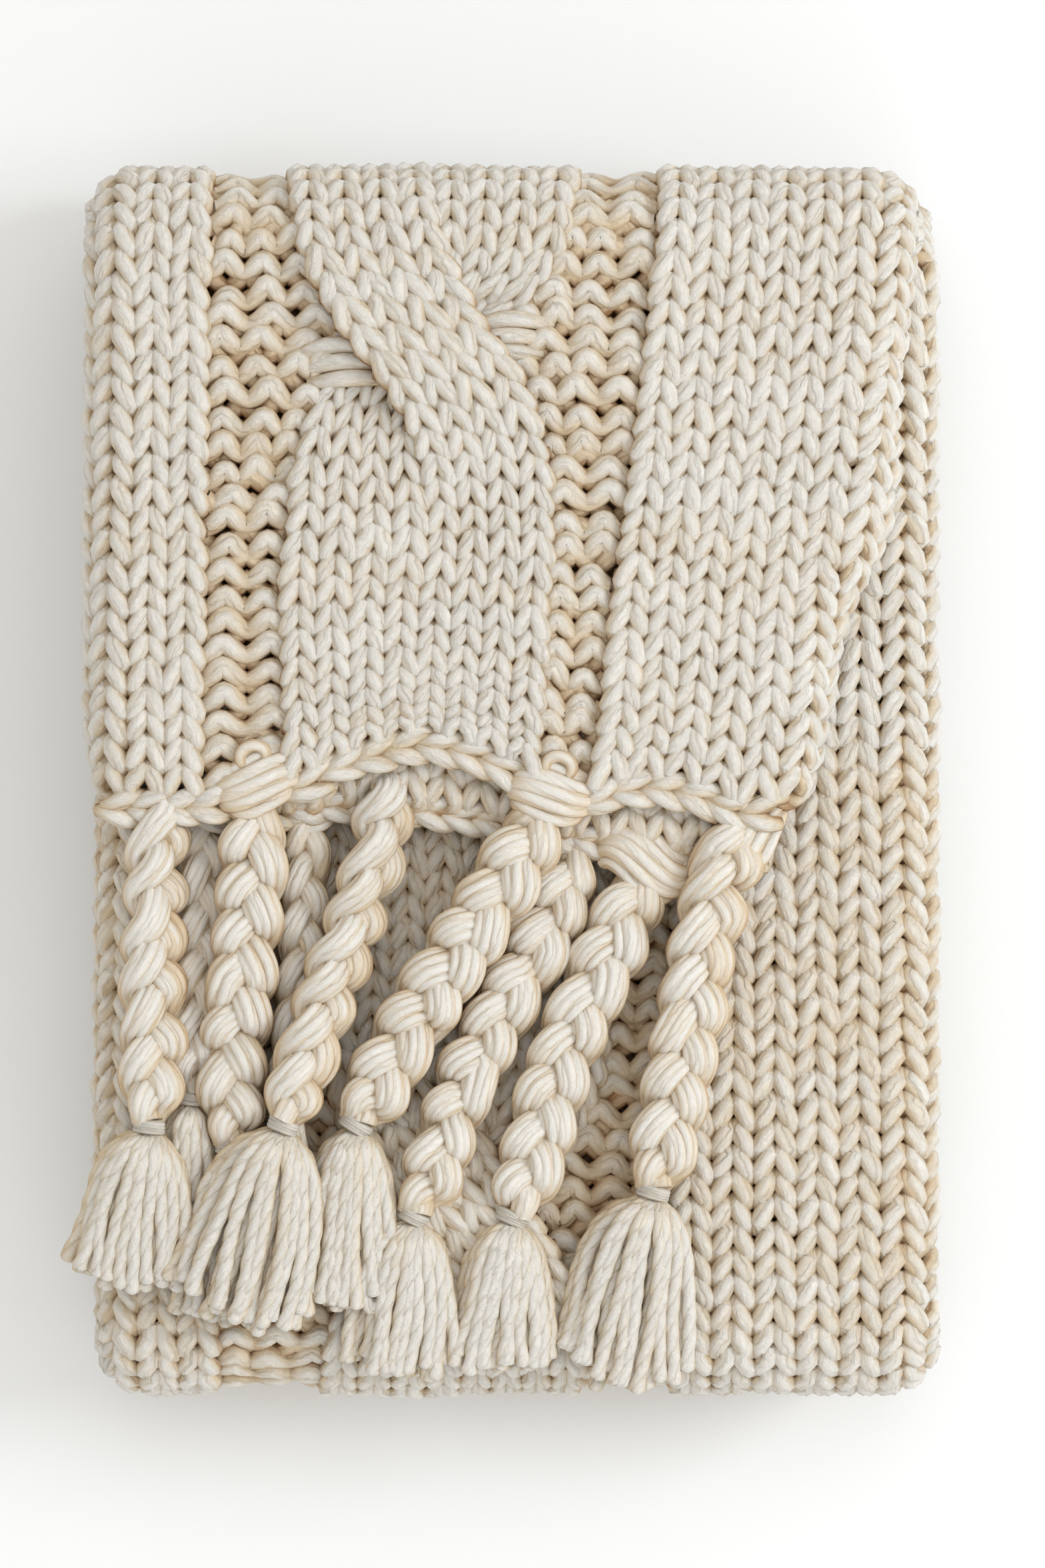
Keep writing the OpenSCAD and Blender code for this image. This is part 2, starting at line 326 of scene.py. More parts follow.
def flap_path(s):
    """From the loose end, over the top, and round the back fold (s runs from the loose end)."""
    r = RUN - INSET
    angle = np.clip((s - FOLD_Y) / TURN, 0, math.pi)
    y, z = np.minimum(s, FOLD_Y) + r * np.sin(angle), STACK_TOP + r * np.cos(angle)
    return y, z, np.sin(angle), np.cos(angle)


def top_path(s):
    """Top run, from the back fold to the front fold and round it; s is zero at the front turn."""
    r = RUN - INSET
    angle = np.clip(s / TURN, 0, math.pi)
    return (FRONT_Y - np.minimum(s, 0) - r * np.sin(angle), 2 * RUN + r * np.cos(angle),
            -np.sin(angle), np.cos(angle))


def bottom_path(s):
    """Underside of the bottom run, and the back fold above it; s is zero at the back turn."""
    angle = np.clip(s / TURN, 0, math.pi)
    r = RUN - BASE_INSET + (BASE_INSET - INSET) * smooth(angle)
    y, z = FOLD_Y + np.minimum(s, 0) + r * np.sin(angle), RUN - r * np.cos(angle)
    return y, z, np.sin(angle), -np.cos(angle)


def level_path(z, facing):
    """A flat run at height z, seen from above (facing 1) or below (-1)."""
    return lambda s: (s + 0.0, np.full_like(s, z), np.zeros_like(s), np.full_like(s, facing))


def line(*points, soft=7.0):
    """A smooth line that runs lengthwise: x for any y, through points given as (y, x)."""
    ys, xs = (np.array(v, float) for v in zip(*sorted(points)))
    grid = np.arange(ys[0] - 60, ys[-1] + 60, 1.0)
    reach = np.arange(-24, 25)
    kernel = np.exp(-(reach / soft) ** 2 / 2)
    even = np.convolve(np.pad(np.interp(grid, ys, xs), 24, mode="edge"), kernel / kernel.sum(), mode="valid")
    return lambda y: np.interp(y, grid, even)


# Sides of the flap, and its two loose ends (upper and lower plies) against x.
FLAP_LEFT = line((-40, -150), (-9, -155), (0, -160), (40, -163), (209, -162), (260, -160))
FLAP_RIGHT = line((-40, 97), (-13, 107), (16, 113), (47, 119), (77, 127), (97, 140), (162, 144), (226, 152))
END = line((-163, -4.7), (-122, -4.7), (-88, 0.5), (-71, 10.4), (-54, 16.4), (-36, 19.8), (-19, 16.4),
           (-2, 9.4), (14, -4.7), (29, -4.7), (35, 1.3), (53, 3.6), (70, 0.0), (85, -8.0), (100, -6.0),
           soft=4.0)
UNDER_END = line((-163, -8), (-100, -8), (-60, -4), (-36, -7), (0, -13), (30, -19), (60, -24), (100, -24))


def stack_side(sign):
    """The straight left (-1) or right (1) side of the stack, as a line."""
    return lambda y: np.full_like(np.asarray(y, float), sign * (HALF_W - 2.0))


FLAP = Surface(flap_path, FLAP_LEFT, FLAP_RIGHT, WRAP, 1)
UNDER_PLY = Surface(level_path(STACK_TOP + 13.0, 1.0), stack_side(-1), stack_side(1), 4.0, 1)
FLAP_BASE = Surface(level_path(STACK_TOP + 8.5, -1.0), FLAP_LEFT, FLAP_RIGHT, 5.0, 1)
TOP_RUN = Surface(top_path, stack_side(-1), stack_side(1), WRAP, -1)
MIDDLE_RUN = Surface(level_path(2 * RUN - INSET + 1.0, 1.0), stack_side(-1), stack_side(1), WRAP, 1)
BOTTOM_RUN = Surface(bottom_path, stack_side(-1), stack_side(1), WRAP, 1)


# ---------------------------------------------------------------- stitches
def knit_rows(yarns, surface, rows, left, right, count, res, lift=1.2, crown=None, shift=None, keep=None,
              thick=3.95, tint=0.0):
    """Knit face between two lengthwise lines: each row's yarn makes pairs of slanted legs that meet behind.

    count is the number of stitches across, res the points a stitch, lift the height above the surface (a
    number or a function of y), crown what the middle rises above the sides, thick the yarn's radius.
    """
    reach, lean, dip = 7.7, 0.245, 3.0      # a leg's length each way, its slant, and how deep its ends go
    n_samples = count * res + 1
    t = np.linspace(-0.5, count - 0.5, n_samples)
    angle = 2 * np.pi * t
    stitch = np.arange(count)
    for index, s_row in enumerate(rows):
        loose = np.array([np.interp(t, stitch, RNG.normal(0, 1, count)) for _ in range(4)])
        s = s_row - surface.towards_end * reach * (1 + 0.04 * loose[0]) * np.cos(angle) + 0.6 * loose[1]
        y = surface.y(s)
        lo, hi = left(y), right(y)
        wide = (hi - lo) / count
        x = lo + (t + 0.5) * wide + lean * wide * np.sin(2 * angle) + 0.5 * loose[2]
        if shift is not None:
            s = s + shift(x, s)
        rise = lift(y) if callable(lift) else lift
        if crown is not None:
            rise = rise + crown(y) * (1 - ((t + 0.5) / count * 2 - 1) ** 2)
        h = rise - dip * np.cos(2 * angle) + 0.5 * loose[3]
        r = thick * np.clip(wide / 14.0, 0.72, 1.06) * (1 + 0.05 * loose[0] + 0.07 * np.sin(2 * angle + 0.8))
        # painted shade: each leg darkens towards its ends, where it dives behind the next row
        depth = 0.10 + 0.95 * smooth((h - rise + 3.6) / 6.0)
        path, up = surface.place(x, s, h), surface.up(x, s)
        shade = tint + 0.03 * RNG.normal()
        for a, b in [(0, n_samples)] if keep is None else spans_where(keep(x, y)):
            if b - a > 3:
                yarns.add(path[a:b], r[a:b], up[a:b], depth[a:b], phase=index * 1.7, tint=shade)


def purl_rows(yarns, surface, rows, left, right, res, lift=-0.8, shift=None, keep=None, tint=0.0):
    """Purl face: each row's yarn waves from side to side, over a second, lower wave between the rows."""
    for index, s_row in enumerate(rows):
        y_row = float(surface.y(s_row))
        lo, hi = float(left(y_row)), float(right(y_row))
        count = max(1, round((hi - lo) / 15.0))
        for low in (False, True):
            steps_here = res // 2 if low else res
            t = np.linspace(-0.5, count - 0.5, count * steps_here + 1)
            angle = 2 * np.pi * t + (math.pi if low else 0.0)
            loose = np.array([np.interp(t, np.arange(count), RNG.normal(0, 1, count)) for _ in range(3)])
            x = lo + (t + 0.5) / count * (hi - lo) + 1.3 * loose[0]
            wave = np.cos(angle + 0.55 * np.sin(angle)) - 0.16 * np.cos(2 * angle)
            s = s_row + surface.towards_end * (2.8 * wave + (PITCH / 2 if low else 0.0)) + 1.0 * loose[1]
            if shift is not None:
                s = s + shift(x, s)
            h = lift + 0.9 * np.cos(angle) + 0.6 * loose[2] - (2.7 if low else 0.0)
            r = (3.9 if low else 4.0) * (1 + 0.06 * np.cos(angle)) * (1 + 0.05 * loose[1])
            # painted shade: the lower wave between rows and the far side of each wave are darker
            depth = (0.20 if low else 0.74) + 0.2 * np.cos(angle)
            path, up = surface.place(x, s, h), surface.up(x, s)
            for a, b in [(0, len(t))] if keep is None else spans_where(keep(x, surface.y(s))):
                if b - a > 3:
                    yarns.add(path[a:b], r[a:b], up[a:b], depth[a:b], phase=index * 2.3,
                              tint=tint + 0.03 * RNG.normal())


def spans_where(mask):
    """Runs of neighbouring True values as pairs of indices."""
    edges = np.flatnonzero(np.diff(np.concatenate([[0], np.asarray(mask).astype(int), [0]])))
    return [(int(a), int(b)) for a, b in zip(edges[::2], edges[1::2])]


class Layout:
    """Where a layer's rib, gutters and cable lie: each is a lengthwise line."""

    def __init__(self, gutter_left, gutter_right, cable_shift, crossing, pitches, counts):
        self.gutter_left, self.gutter_right = gutter_left, gutter_right
        self.crossing, self.pitches, self.counts = crossing, pitches, counts
        dx, dy = cable_shift

        def moved(edge):
            return lambda y: edge(np.asarray(y) - dy) + dx

        self.front = moved(FRONT_LEFT), moved(FRONT_RIGHT)
        self.back = moved(BACK_LEFT), moved(BACK_RIGHT)

    def hump(self, y):
        """1 where the two strands of the cable cross, 0 away from it."""
        return np.exp(-((np.asarray(y) - self.crossing) / 30.0) ** 2)


# The cable's strands at the crossing. The front one runs from the left to the right as y falls.
FRONT_LEFT = line((240, -90), (216, -86.5), (195, -79), (174, -67), (157, -52), (133, -39), (103, -34),
                  (67, -38), (19, -40))
FRONT_RIGHT = line((240, -34), (216, -31.5), (195, -22.5), (174, -10.5), (157, 2), (133, 11.6), (103, 13.4),
                   (67, 12.2), (19, 8.6))
BACK_LEFT = line((240, -34), (216, -31.5), (195, -32), (174, -60), (157, -75), (133, -84), (103, -89.5),
                 (67, -92.5), (19, -90))
BACK_RIGHT = line((240, 24), (216, 20.6), (198, 13.4), (186, 2), (174, -14), (158, -36), (133, -39),
                  (103, -34), (67, -38), (19, -40))

FLAP_LAYOUT = Layout(line((240, -120), (130, -121), (20, -123)),
                     line((240, 57), (185, 52), (133, 46), (80, 38.5), (26, 33), (-2, 28.4)),
                     (0, 0), 166.0, (14.0, 14.2), (5, 8))
STACK_LAYOUT = Layout(line((240, -117), (-240, -119)), line((240, 60), (-240, 60)),
                      (12, -337), -171.0, (15.0, 16.5), (5, 8))


def layer(yarns, surface, layout, rows, res, shift=None, keep=None, thick=3.95, relief=1.0, tint=0.0):
    """All the wales of some rows: rib, gutter, cable, gutter, rib."""
    gl, gr = layout.gutter_left, layout.gutter_right
    pitch_l, pitch_r = layout.pitches
    n_l, n_r = layout.counts
    common = dict(shift=shift, keep=keep, thick=thick, tint=tint)
    ripples = dict(shift=shift, keep=keep, tint=tint)
    knit_rows(yarns, surface, rows, lambda y: gl(y) - n_l * pitch_l, gl, n_l, res, **common)
    knit_rows(yarns, surface, rows, gr, lambda y: gr(y) + n_r * pitch_r, n_r, res, **common)
    for (a, b), rise, crown in ((layout.back, -4.5, 0.0), (layout.front, 6.5, 2.5)):
        knit_rows(yarns, surface, rows, a, b, 4, res,
                  lift=lambda y, rise=rise: 1.8 + relief * rise * layout.hump(y),
                  crown=lambda y, crown=crown: relief * crown * layout.hump(y), **common)
    purl_rows(yarns, surface, rows, gl, lambda y: np.minimum(layout.front[0](y), layout.back[0](y)) + 3.0,
              res, **ripples)
    purl_rows(yarns, surface, rows, lambda y: np.maximum(layout.front[1](y), layout.back[1](y)) - 3.0, gr,
              res, **ripples)


def floats(yarns, surface):
    """Long stitches of the back strand, drawn out sideways where it dives under the front one."""
    t = np.linspace(0, 1, 22)
    arch = np.sin(np.pi * t)
    for (x0, y0, x1, y1), step in (((-20, 176, 14, 178), -2.0), ((-56, 168, -86, 166), 2.5)):
        for i in range(3):
            x = x0 + (x1 - x0) * t + step * i
            s = y0 + (y1 - y0) * t - i * 5.4 + 3.5 * arch * (1 - 0.3 * i)
            h = -1.0 + 5.0 * np.sin(np.pi * np.clip(t * 0.9 + 0.12, 0, 1))
            # painted shade: each float darkens towards its ends, where it dives under the front strand
            yarns.add(surface.place(x, s, h), 3.4 * (0.75 + 0.3 * arch), surface.up(x, s), 0.55 + 0.5 * arch,
                      phase=i)


def end_shift(x, s):
    """The loose end dips at the hitches and arches between them."""
    return (END(x) + 5.0) * np.exp(-np.maximum(s, 0) / 34.0)


def steps(first, last):
    """Row positions, a pitch apart."""
    return [PITCH * i for i in range(first, last)]


def flap_pieces():
    """Name and stitches of each piece of the flap, from its loose end round the back fold."""
    for name, rows, res, sides in (("flap_stitches_end", (0, 10), 18, 10),
                                   ("flap_stitches_middle", (10, 21), 18, 10),
                                   ("flap_stitches_fold", (21, 33), 16, 9)):
        yarns = Yarns(sides)
        layer(yarns, FLAP, FLAP_LAYOUT, [s + 2.0 for s in steps(*rows)], res, shift=end_shift)
        if name == "flap_stitches_middle":
            floats(yarns, FLAP)
        yield name, yarns


def stack_pieces():
    """Name and stitches of each piece of the three runs below the flap."""
    flat = int((FOLD_Y - FRONT_Y) / PITCH)
    front, middle = Yarns(9), Yarns(9)
    # painted shade: the top run's rows under the flap's end and the fringe are made darker and warmer
    layer(front, TOP_RUN, STACK_LAYOUT, steps(-11, 1), 16, tint=-0.10)
    layer(middle, TOP_RUN, STACK_LAYOUT, steps(-22, -11), 16, tint=-0.12)
    yield "stack_top_front", front
    yield "stack_top_middle", middle
    for name, surface, rows, res, sides, thick in (
            ("stack_top_under_flap", TOP_RUN, steps(-flat, -22), 12, 7, 3.95),
            ("front_fold_stitches", TOP_RUN, steps(1, 10), 14, 8, 3.95),
            ("underside_stitches", BOTTOM_RUN, steps(-flat - 2, 1), 9, 6, 3.9),
            ("back_fold_stitches", BOTTOM_RUN, steps(1, 10), 12, 8, 3.95)):
        yarns = Yarns(sides)
        layer(yarns, surface, STACK_LAYOUT, rows, res, thick=thick, relief=0.0)
        yield name, yarns
    sides_only = Yarns(7)
    layer(sides_only, MIDDLE_RUN, STACK_LAYOUT, [FRONT_Y + s for s in steps(0, flat + 1)], 12,
          keep=lambda x, y: np.abs(x) > HALF_W - 18)
    yield "middle_run_sides", sides_only


def flap_underside():
    """The lower plies: their face towards the stack, and the few rows seen below the upper ones' arch."""
    yarns = Yarns(6)
    layer(yarns, FLAP_BASE, FLAP_LAYOUT, [s + 8.0 for s in steps(0, 20)], 8, relief=0.0,
          keep=lambda x, y: (x > FLAP_LEFT(y) + 8) & (x < FLAP_RIGHT(y) - 8))
    seen = Yarns(10)
    # painted shade: the lower ply's rows seen under the flap's arch are darker
    knit_rows(seen, UNDER_PLY, steps(0, 4), lambda y: np.full_like(y, -148.0),
              lambda y: np.full_like(y, 92.0), 17, 16, shift=lambda x, s: UNDER_END(x) + 6.0, tint=-0.12)
    return yarns, seen


def chain(yarns, spans, end_of, z):
    """Bound-off or cast-on edge: sideways stitches like arrowheads, two slanted legs to a link."""
    link, radius = 12.5, 3.5
    t = np.linspace(0, 1, 18)
    for x0, x1 in spans:
        count = round((x1 - x0) / link)
        for i in range(count):
            for leg in (1, -1):
                x = x0 + (i + t * 1.42 - 0.2 + 0.10 * leg) * (x1 - x0) / count
                y = end_of(x) + leg * (0.6 + 4.2 * smooth(t * 1.15)) + 0.4 * RNG.normal()
                h = z + 3.4 * np.sin(np.pi * (0.15 + 0.80 * t)) - 2.0 + 0.5 * leg
                path = np.stack([x, y, h], -1)
                thick = radius * (0.72 + 0.36 * np.sin(np.pi * (0.05 + 0.88 * t)))
                # painted shade: each leg darkens towards its ends, where it goes into the cloth
                yarns.add(path, thick, (0, 0.35 * leg, 1), 0.30 + 0.75 * np.sin(np.pi * t),
                          phase=i * 1.3 + leg, tint=0.03 * RNG.normal())


# ---------------------------------------------------------------- fringe
# Each braid: its middle line (x, y), height at its hitch and at its binding, width, roll about its own length
# at both ends (a braid on its edge looks like a rope), its hitch (x, y, z, width, slant in degrees), how far
# the hitch's yarns curl, whether it has a loop above it, and its skirt's tip, tip height and spread.
BRAIDS = [
    dict(line=[(-137.5, -2), (-140.9, -32.5), (-142.2, -55.6), (-142.2, -102.2), (-143.5, -131.5)],
         z=(117, 113), width=30, roll=(66, 12), knot=(-137, 2, 111, 22, 0), curl=0, loop=False,
         tip=(-152.9, -196), tip_z=104, spread=50),
    dict(line=[(-122, -14), (-124, -60), (-128, -121)],
         z=(103, 103), width=24, roll=(20, 10), knot=(-121, -10, 103, 18, 0), curl=0, loop=False,
         tip=(-131, -182), tip_z=101, spread=22),
    dict(line=[(-101.4, -10), (-102.7, -32.5), (-105, -55.6), (-107.4, -78.8), (-110.8, -102.2),
               (-111.5, -140)],
         z=(117, 107), width=32, roll=(0, 0), knot=(-100, 1, 124, 32, 14), curl=1.2, loop=True,
         tip=(-109.5, -210), tip_z=102, spread=50),
    dict(line=[(-82, -12), (-84, -60), (-89, -124)],
         z=(103, 103), width=22, roll=(15, 0), knot=(-82, -8, 106, 20, 8), curl=0, loop=False,
         tip=(-93, -182), tip_z=101, spread=20),
    dict(line=[(-49.4, 12), (-53.8, -20.8), (-60.8, -43.9), (-68.9, -67.3), (-77.2, -90.5), (-82.9, -107.9),
               (-90.5, -131)],
         z=(110, 117), width=29, roll=(60, 34), knot=(-48, 14, 110, 24, 0), curl=0, loop=False,
         tip=(-109, -209), tip_z=112, spread=58),
    dict(line=[(10, -10), (4, -22), (-6, -39.5), (-30.4, -76.4), (-52, -113.1), (-62.1, -131.5)],
         z=(118, 109), width=33, roll=(0, 0), knot=(13.5, -3, 124, 30, -16), curl=-1.0, loop=True,
         tip=(-68.1, -202), tip_z=106, spread=40),
    dict(line=[(22.9, -26), (12.5, -54.9), (-6, -88.7), (-21.3, -119.1), (-33.5, -152.9), (-39.8, -167.5)],
         z=(106, 105), width=30, roll=(0, 0), knot=(24, -18, 106, 26, -20), curl=0, loop=False,
         tip=(-45.8, -231), tip_z=101, spread=46),
    dict(line=[(49.9, -36), (30.7, -76.4), (15.3, -113.1), (6.2, -146.6), (-1.3, -167.5)],
         z=(108, 105), width=32, roll=(0, 0), knot=(50, -30, 112, 36, -26), curl=-3.2, loop=False,
         tip=(-8.3, -229), tip_z=101, spread=42),
    dict(line=[(88, -12), (73.6, -54.9), (67.3, -88.7), (61.4, -122.2), (53.6, -157.5)],
         z=(115, 106), width=32, roll=(30, 0), knot=(91, -17, 117, 30, 48), curl=1.5, loop=False,
         tip=(40.6, -233), tip_z=101, spread=56),
]
LOOPED = 7    # one yarn of this tassel turns back in a loop


def resample(points, n):
    """Evenly spaced points on a smooth curve through points."""
    p = np.asarray(points, float)
    d = np.concatenate([[0], np.cumsum(np.linalg.norm(np.diff(p, axis=0), axis=1))])
    m = np.gradient(p, d, axis=0)
    s = np.linspace(0, d[-1], n)
    i = np.clip(np.searchsorted(d, s, side="right") - 1, 0, len(p) - 2)
    w = (d[i + 1] - d[i])[:, None]
    t = ((s - d[i])[:, None]) / w
    h00, h10 = 2 * t ** 3 - 3 * t ** 2 + 1, t ** 3 - 2 * t ** 2 + t
    h01, h11 = -2 * t ** 3 + 3 * t ** 2, t ** 3 - t ** 2
    return h00 * p[i] + h10 * w * m[i] + h01 * p[i + 1] + h11 * w * m[i + 1], s


def braid_frames(spec):
    """A braid's middle line, its three directions at every point, and the length along it."""
    flat, s = resample(spec["line"], 150)
    z = spec["z"][0] + (spec["z"][1] - spec["z"][0]) * smooth(s / s[-1])
    middle = np.column_stack([flat, z])
    ahead = unit(np.gradient(middle, axis=0))
    across = unit(np.cross(ahead, (0, 0, 1)))
    return middle, ahead, across, np.cross(across, ahead), s


BUNDLE = (90, 52, 128, 14, 166, -40, 220)    # where a strand's yarns lie round it, in degrees


def braid(yarns, spec):
    """Three plaited strands, each a bundle of yarns that swells where it lies on top.

    Every strand wanders a little by itself, and the plait is thinner at its two ends.
    """
    radius, period, width = 2.75, 57.0, spec["width"]      # period is the length of one full turn of a strand
    bundle, sway, rise = 0.212 * width, 0.235 * width, 0.165 * width
    middle, _, across, up, s = braid_frames(spec)
    share = smooth(s / s[-1])
    roll = np.radians(spec["roll"][0] + (spec["roll"][1] - spec["roll"][0]) * share)[:, None]
    a_axis = across * np.cos(roll) + up * np.sin(roll)
    b_axis = -across * np.sin(roll) + up * np.cos(roll)
    knots = np.arange(0, s[-1] + 14, 13.0)
    loose = [np.interp(s, knots, RNG.normal(0, 1, len(knots))) for _ in range(3)]
    taper = 0.46 + 0.54 * np.minimum(0.1 + 0.9 * smooth(s / 15), smooth((s[-1] - s) / 14))
    for strand in range(3):
        t = 2 * np.pi * s / period + strand * 2 * np.pi / 3 + spec["z"][0] + 0.16 * loose[strand]
        a, b = sway * (np.sin(t) + 0.03 * np.sin(3 * t)) * taper, rise * np.sin(2 * t) * taper
        path = middle + a_axis * a[:, None] + b_axis * b[:, None]
        along = unit(np.gradient(path, axis=0))
        beside = unit(np.cross(along, b_axis))
        above = np.cross(beside, along)
        swell = (0.86 + 0.17 * np.sin(2 * t) + 0.06 * loose[(strand + 1) % 3]) * taper
        for j, lane in enumerate(np.radians(BUNDLE)):
            lane = lane + 0.16 * np.sin(s / 11 + strand * 2 + j)
            off = (beside * ((bundle - radius * 0.7) * np.cos(lane) * swell)[:, None]
                   + above * (bundle * 0.56 * np.sin(lane) * swell)[:, None])
            # painted shade: yarns near the plait's middle plane, where the strands press together, are darker
            # than those on top and below
            height = ((path + off - middle) * up).sum(axis=1) / (0.22 * width)
            depth = np.clip(0.58 + 0.40 * np.abs(height), 0.0, 1.05)
            yarns.add(path + off, radius * (0.98 + 0.07 * np.sin(s / 9 + j)), up, depth,
                      phase=j * 2.1 + strand, tint=0.04 * RNG.normal())


def hitch(yarns, spec):
    """Lark's head: yarns wound over the edge in an oval coil, and the loop that goes through the edge."""
    *centre, wide, slant = spec["knot"]
    centre, slant = np.array(centre), math.radians(slant)
    right = np.array([math.cos(slant), math.sin(slant), 0.0])
    forward = np.array([math.sin(slant), -math.cos(slant), 0.0])
    above = np.array([0.0, 0.0, 1.0])
    t = np.linspace(0.03, 0.97, 34)
    for j, lane in enumerate((-2, -1, 0, 1, 2)):
        turn = np.pi * t
        x = -wide / 2 * (1.0 - 0.055 * lane ** 2) * np.cos(turn)
        y = lane * 4.8 * (0.66 + 0.34 * np.sin(turn)) + spec["curl"] * np.sin(2 * turn) + 1.2 * np.cos(turn)
        z = (9.0 - 0.9 * lane ** 2) * np.sin(turn) ** 0.55 - 5.5
        path = centre + right * x[:, None] + forward * y[:, None] + above * z[:, None]
        # painted shade: each coil darkens towards its ends, where it goes under the edge
        yarns.add(path, 3.05, above, 0.35 + 0.70 * np.sin(turn), phase=j * 1.7, tint=0.03 * RNG.normal())
    if spec["loop"]:
        t = np.linspace(-0.15, 1.15, 26) * np.pi
        x, y, z = 5.1 * np.cos(t), 10.0 + 4.3 * np.sin(t), 1.5 + 1.5 * np.sin(t)
        path = centre + right * x[:, None] - forward * y[:, None] + above * z[:, None]
        # painted shade: the loop darkens towards its ends
        yarns.add(path, 2.5, above, 0.65 + 0.3 * np.sin(t))


def binding(yarns, spec):
    """Thin yarn wound tight round the neck."""
    middle, ahead, across, up, _ = braid_frames(spec)
    neck = middle[-1] + ahead[-1] * 2.0
    turns, long = 2.5, 3.6
    t = np.linspace(0, 2 * np.pi * turns, 70)
    out = across[-1] * np.cos(t)[:, None] * (0.17 * spec["width"]) + up[-1] * np.sin(t)[:, None] * 4.6
    yarns.add(neck + out + ahead[-1] * ((t / t[-1] - 0.5) * long)[:, None], 1.35, unit(out), 1.0)


def tassel(yarns, spec, ends, looped=False):
    """Separate yarns that come out of the binding over rounded shoulders and hang to ragged cut ends."""
    middle, ahead, _, _, _ = braid_frames(spec)
    neck = middle[-1] + ahead[-1] * 4.0
    axis = np.array([*spec["tip"], spec["tip_z"]]) - neck
    length = np.linalg.norm(axis)
    axis = axis / length
    side = unit(np.cross(axis, (0, 0, 1)))
    rise = np.cross(side, axis)
    u = np.linspace(0, 1, 64)
    per_layer = math.ceil(ends / 3)
    for j in range(ends):
        level = j % 3                    # 0 lies on top
        share = ((j // 3) + 0.5) / per_layer * 2 - 1 + (level - 1) * 0.9 / per_layer + 0.06 * RNG.normal()
        share = float(np.clip(share, -1.0, 1.0)) * (0.86 + 0.07 * level)
        reach = length * (1.0 - 0.13 * share ** 2 + 0.035 * RNG.normal())
        shoulder = 1 - np.exp(-u * 8.0)
        spread = spec["spread"] / 2 * share * (0.70 * shoulder + 0.30 * u)
        spread = spread + 2.0 * np.sin(u * (4 + 3 * RNG.random()) + RNG.random() * 6) * u
        dome = math.sqrt(max(0.04, 1 - 0.9 * share ** 2))
        height = (10.5 - 3.4 * level) * dome * smooth(u * 7) * (1 - 0.62 * u) - 1.5 * level
        if looped and j == ends - 3:
            back = smooth((u - 0.45) / 0.4)
            reach, spread = length * 0.92, spread + 5.0 * np.sin(np.pi * u) - 12.0 * back
            along = reach * (u - 0.75 * np.maximum(u - 0.62, 0) * 2)
        else:
            along = u * reach
        path = neck + axis * along[:, None] + side * spread[:, None] + rise * height[:, None]
        path[:, 2] = np.maximum(path[:, 2], STACK_TOP + 3.0)
        r = 2.85 * (0.70 + 0.30 * np.minimum(u * 9, 1)) * (1 + 0.14 * smooth((u - 0.90) / 0.08))
        r[-1] *= 0.62
        # painted shade: lower layers of yarn and the crowded yarns at the binding are darker, and each yarn
        # lightens towards its tip
        depth = np.clip(1.0 - 0.15 * level + 0.10 * u - 0.30 * np.exp(-u * 14), 0, 1.1)
        yarns.add(path, r, rise, depth, phase=RNG.random() * 6, tint=0.04 * RNG.normal())


# ---------------------------------------------------------------- ground cloth
CLOTH_WIDTH, CLOTH_LENGTH = 1296.0, 1615.0    # of the throw, laid flat
PLIES = 4
CLOTH_INSET = 15.0     # from the outline of the stack to the folds of the ground cloth
PLY_SQUEEZE = 0.12     # the ground cloth's plies lie close together, well inside the stitches


def ply_point(x):
    """Where a point x along the cloth's width comes to lie when it is folded lengthwise: across and ply."""
    half = HALF_W - CLOTH_INSET
    share = x / (CLOTH_WIDTH / PLIES)
    ply = min(int(share), PLIES - 1)
    across = -half + 2 * half * (share - ply)
    return (across if ply % 2 == 0 else -across), ply


def flap_narrow(across, y, z):
    """The flap's plies are narrower than the stack's."""
    if z < STACK_TOP or y > FOLD_Y:
        return across
    half = HALF_W - CLOTH_INSET
    left, right = float(FLAP_LEFT(y)) + CLOTH_INSET, float(FLAP_RIGHT(y)) - CLOTH_INSET
    return left + (across + half) / (2 * half) * (right - left)


def run_point(s, off):
    """Y and Z at length s from the far end, off from the middle towards the outside of the first turn."""
    flat, bend = FOLD_Y - FRONT_Y, RUN / 2
    last = 6                                  # three runs and three turns come before the flap
    part, at = 0, 0.0
    while part < last:
        part_length = flat if part % 2 == 0 else math.pi * bend
        if s <= at + part_length:
            break
        at += part_length
        part += 1
    run_no = part // 2
    sign = 1 if run_no % 2 == 0 else -1
    level = RUN / 2 + run_no * RUN
    start_y = FRONT_Y if sign > 0 else FOLD_Y
    o = off * sign * PLY_SQUEEZE
    if part % 2 == 0:
        return start_y + sign * (s - at), level - o
    angle, r = (s - at) / bend, max(bend + o, 1.0)
    return start_y + sign * flat + sign * r * math.sin(angle), level + bend - r * math.cos(angle)


